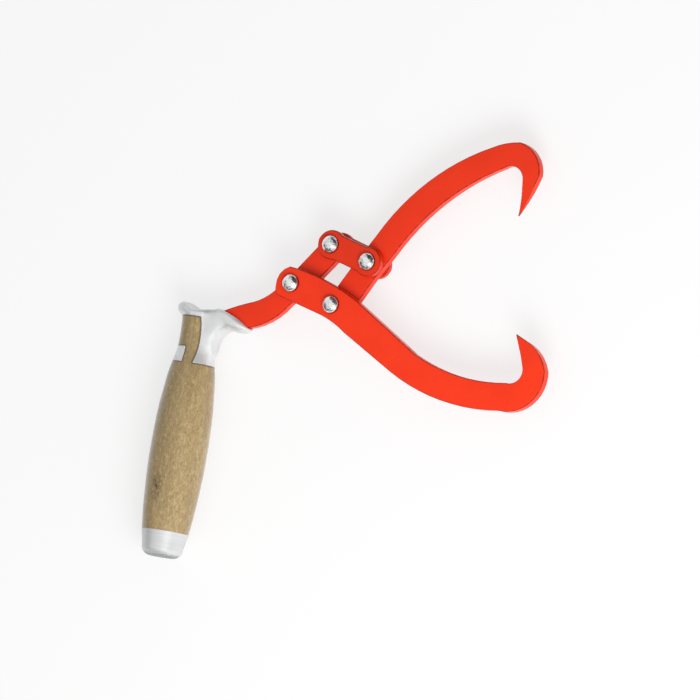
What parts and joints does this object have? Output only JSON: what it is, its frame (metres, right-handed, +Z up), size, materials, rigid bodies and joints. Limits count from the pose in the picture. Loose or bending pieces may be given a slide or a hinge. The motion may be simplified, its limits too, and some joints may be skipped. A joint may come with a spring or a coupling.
{
  "type": "log tongs",
  "caption": "Hand-held log tongs with forged hooked jaws on a riveted linkage and a turned wooden handle at an angle.",
  "frame": {"origin": "bottom centre of the bounding box, with the tongs lying flat on their back", "axes": "+X along the jaws, away from the handle; +Y across the tool, away from the handle's end; +Z up, out of the face that shows the rivet heads and the front link"},
  "size_m": [0.3132, 0.2732, 0.04],
  "materials": {
    "red_paint": "gloss orange-red paint on forged steel",
    "cast_aluminium": "satin cast aluminium",
    "wood": "clear-lacquered hardwood",
    "zinc_plate": "bright zinc plate"
  },
  "bodies": {
    "handle": {"handle_arm": "red_paint", "bolster": "cast_aluminium", "grip": "wood", "end_cap": "cast_aluminium", "tang_washer": "zinc_plate", "tang_nut": "zinc_plate"},
    "lower_jaw": {"lower_jaw": "red_paint", "rivet_arm_jaw": "zinc_plate", "rivet_jaws": "zinc_plate"},
    "links": {"link_front": "red_paint", "link_rear": "red_paint", "rivet_arm_link": "zinc_plate", "rivet_jaw_link": "zinc_plate"},
    "upper_jaw": {"upper_jaw": "red_paint"}
  },
  "joints": [
    {"name": "lower_jaw_hinge", "type": "hinge", "parent": "handle", "child": "lower_jaw", "pos_m": [-0.03795, 0.0476, 0.02], "axis": [0, 0, 1], "range_deg": [-50, 30]},
    {"name": "link_hinge", "type": "hinge", "parent": "handle", "child": "links", "pos_m": [-0.00838, 0.07304, 0.02], "axis": [0, 0, 1], "range_deg": [-57, 35]},
    {"name": "upper_jaw_hinge", "type": "hinge", "parent": "lower_jaw", "child": "upper_jaw", "pos_m": [-0.00722, 0.03085, 0.02], "axis": [0, 0, 1], "range_deg": [-31, 51]}
  ],
  "couplings": [
    {"joint": "link_hinge", "follows": "lower_jaw_hinge", "ratio": 1.116},
    {"joint": "upper_jaw_hinge", "follows": "lower_jaw_hinge", "ratio": -0.98}
  ]
}
